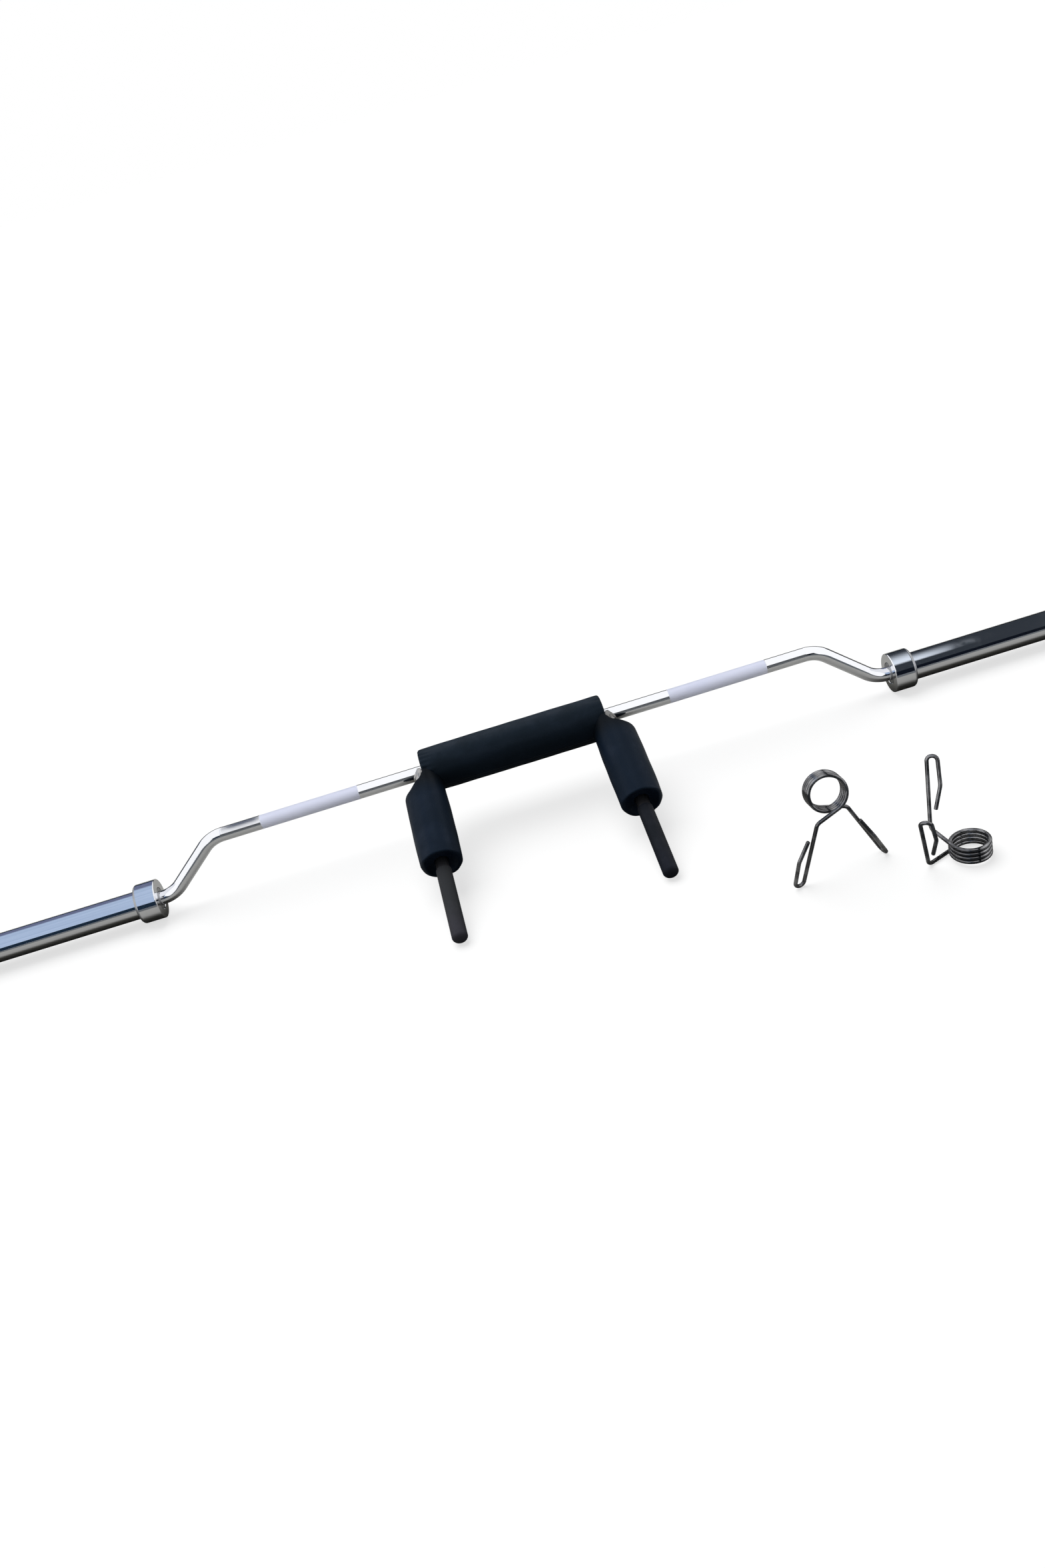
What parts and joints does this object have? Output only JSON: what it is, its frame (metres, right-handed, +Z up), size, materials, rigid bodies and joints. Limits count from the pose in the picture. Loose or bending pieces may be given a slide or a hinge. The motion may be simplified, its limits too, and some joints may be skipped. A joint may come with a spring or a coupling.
{
  "type": "safety squat bar",
  "caption": "Cambered barbell with a padded neck yoke, two forward handles, turning plate sleeves and loose one-wire spring collars.",
  "frame": {"origin": "on the floor, under the middle of the whole object as it rests on its sleeve collars and handle ends", "axes": "+X along the bar towards its right end, +Y from the handles towards the shaft, +Z up from the floor"},
  "size_m": [2.1994, 0.5904, 0.171],
  "materials": {
    "chrome": "bright chrome plate over turned steel",
    "bare_steel": "plain grey steel",
    "bronze": "oiled bearing bronze",
    "spring_wire": "dark oiled spring steel",
    "pad_vinyl": "blue-black satin vinyl skin over foam",
    "grip_rubber": "matt charcoal rubber",
    "cap_plastic": "satin black plastic"
  },
  "bodies": {
    "bar_frame": {"bar_shaft": "chrome", "neck_pad": "pad_vinyl", "arm_tube_left": "bare_steel", "arm_tube_right": "bare_steel", "arm_pad_left": "pad_vinyl", "arm_pad_right": "pad_vinyl", "handle_grip_left": "grip_rubber", "handle_grip_right": "grip_rubber", "shoulder_ring_left": "bare_steel", "shoulder_ring_right": "bare_steel", "thrust_washer_left": "bare_steel", "thrust_washer_right": "bare_steel", "retaining_ring_left": "bare_steel", "retaining_ring_right": "bare_steel"},
    "left_sleeve_unit": {"sleeve_left": "chrome", "sleeve_collar_left": "chrome", "inner_bushing_left": "bronze", "outer_bushing_left": "bronze", "end_cap_left": "cap_plastic"},
    "right_sleeve_unit": {"sleeve_right": "chrome", "sleeve_collar_right": "chrome", "inner_bushing_right": "bronze", "outer_bushing_right": "bronze", "end_cap_right": "cap_plastic"},
    "standing_spring_collar": {"spring_collar_left": "spring_wire"},
    "sitting_spring_collar": {"spring_collar_right": "spring_wire"}
  },
  "joints": [
    {"name": "left_sleeve_spin", "type": "hinge", "parent": "bar_frame", "child": "left_sleeve_unit", "pos_m": [-0.9, 0.25448, 0.0355], "axis": [1, 0, 0], "continuous": true},
    {"name": "right_sleeve_spin", "type": "hinge", "parent": "bar_frame", "child": "right_sleeve_unit", "pos_m": [0.9, 0.25448, 0.0355], "axis": [1, 0, 0], "continuous": true},
    {"name": "standing_collar_lift", "type": "slide", "parent": "bar_frame", "child": "standing_spring_collar", "axis": [0, 0, 1], "range_m": [0, 0.25]},
    {"name": "sitting_collar_lift", "type": "slide", "parent": "bar_frame", "child": "sitting_spring_collar", "axis": [0, 0, 1], "range_m": [0, 0.25]}
  ]
}
